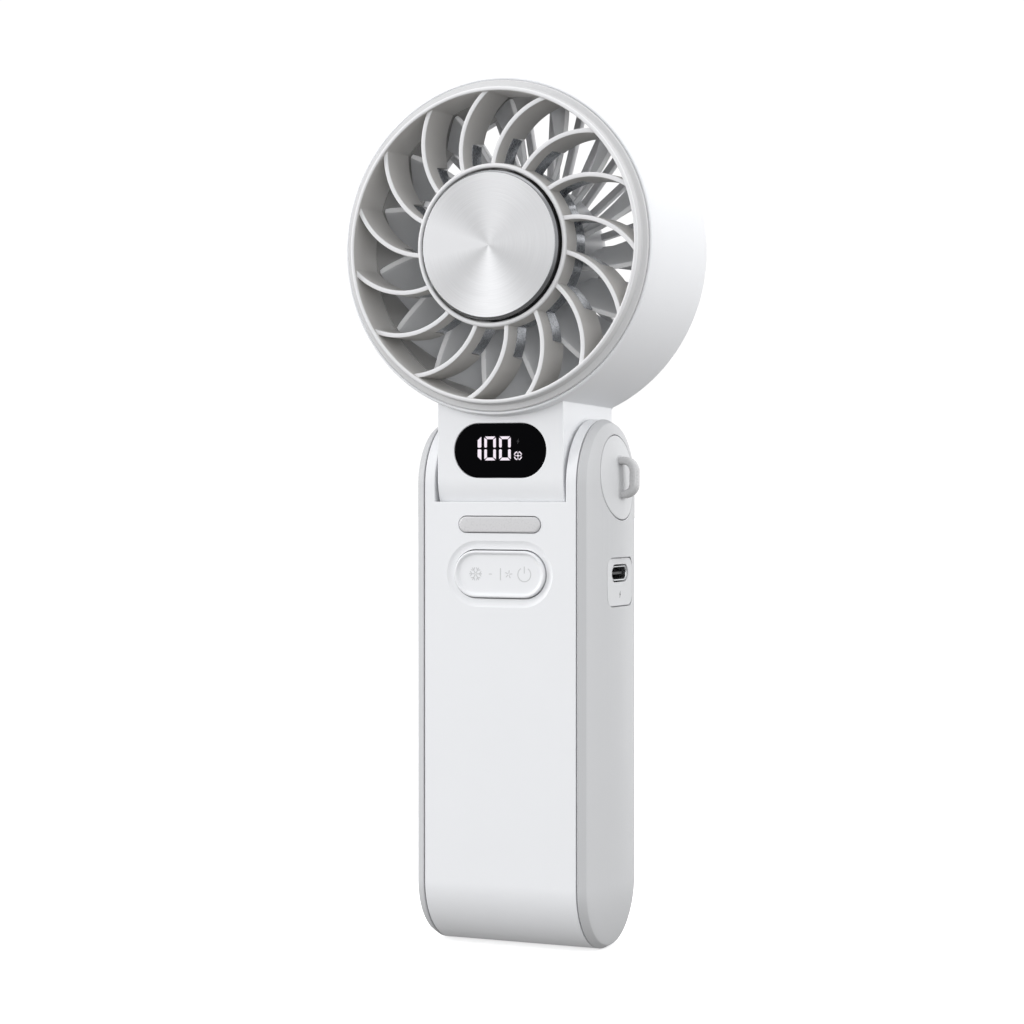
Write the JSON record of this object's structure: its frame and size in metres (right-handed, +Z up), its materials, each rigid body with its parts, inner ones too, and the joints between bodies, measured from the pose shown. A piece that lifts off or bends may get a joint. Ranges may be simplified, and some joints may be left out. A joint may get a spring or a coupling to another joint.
{
  "type": "handheld electric fan",
  "caption": "Slim handheld fan: rounded flat-sided handle with display, rocker button and charging port, and a round tilting head with swept ribs round a brushed metal cooling plate.",
  "frame": {"origin": "centre of the bounding box in plan, at the lowest point of the handle's rounded foot", "axes": "+X to the right of the front face, +Y away from the front, +Z up the handle to the head"},
  "size_m": [0.0798, 0.0368, 0.2019],
  "materials": {
    "white_shell": "fine satin moulded ABS, cool white",
    "button_white": "satin moulded ABS",
    "grey_plate": "fine satin moulded ABS, light grey",
    "grey_trim": "satin moulded ABS, light grey",
    "indicator": "smooth translucent light bar",
    "grille": "satin moulded ABS, light grey",
    "impeller_plastic": "satin moulded plastic, light grey",
    "display_black": "polished black window",
    "brushed_plate": "circular brushed face with a polished bevel",
    "dark_aluminium": "satin grey",
    "steel": "plain machined",
    "black_rubber": "matt",
    "black_plastic": "fine moulded",
    "circuit_board": "solder mask",
    "cell_wrap": "shrink wrap",
    "ceramic": "unglazed white",
    "motor_winding": "varnished copper over laminations"
  },
  "bodies": {
    "handle": {"handle_shell": "white_shell", "right_side_plate": "grey_plate", "left_side_plate": "grey_plate", "right_hinge_cap": "grey_trim", "left_hinge_cap": "grey_trim", "lanyard_loop": "grey_trim", "port_panel": "grey_trim", "indicator_lens": "indicator", "right_hinge_pin": "steel", "left_hinge_pin": "steel", "right_spring_washer": "steel", "left_spring_washer": "steel", "right_board_screw": "steel", "left_board_screw": "steel", "port_socket": "steel", "right_tact_switch": "black_plastic", "left_tact_switch": "black_plastic", "port_tongue": "black_plastic", "battery_cradle": "black_plastic", "main_board": "circuit_board", "port_board": "circuit_board", "right_battery_cell": "cell_wrap", "left_battery_cell": "cell_wrap"},
    "head": {"head_housing": "white_shell", "neck_rear_cover": "white_shell", "display_window": "display_black", "display_board": "circuit_board", "front_grille": "grille", "cooling_plate": "brushed_plate", "plate_gasket": "black_rubber", "peltier_module": "ceramic", "heat_sink": "dark_aluminium", "air_duct": "grille", "rear_grille": "grille", "motor_mount": "grille", "motor_screw_1": "steel", "motor_screw_2": "steel", "motor_screw_3": "steel", "motor_stator": "motor_winding", "motor_board": "circuit_board", "front_bearing": "steel", "rear_bearing": "steel"},
    "impeller": {"impeller": "impeller_plastic", "rotor_can": "steel", "motor_shaft": "steel"},
    "rocker": {"rocker_button": "button_white"}
  },
  "joints": [
    {"name": "head_tilt", "type": "hinge", "parent": "handle", "child": "head", "pos_m": [0, 0.003, 0.109], "axis": [1, 0, 0], "range_deg": [-90, 30]},
    {"name": "impeller_spin", "type": "hinge", "parent": "head", "child": "impeller", "pos_m": [0, 0.003, 0.162], "axis": [0, 1, 0], "continuous": true},
    {"name": "rocker_press", "type": "hinge", "parent": "handle", "child": "rocker", "pos_m": [0, -0.0086, 0.0868], "axis": [0, 0, 1], "range_deg": [-2.5, 2.5], "stiffness_Nm_per_rad": 0.3}
  ]
}
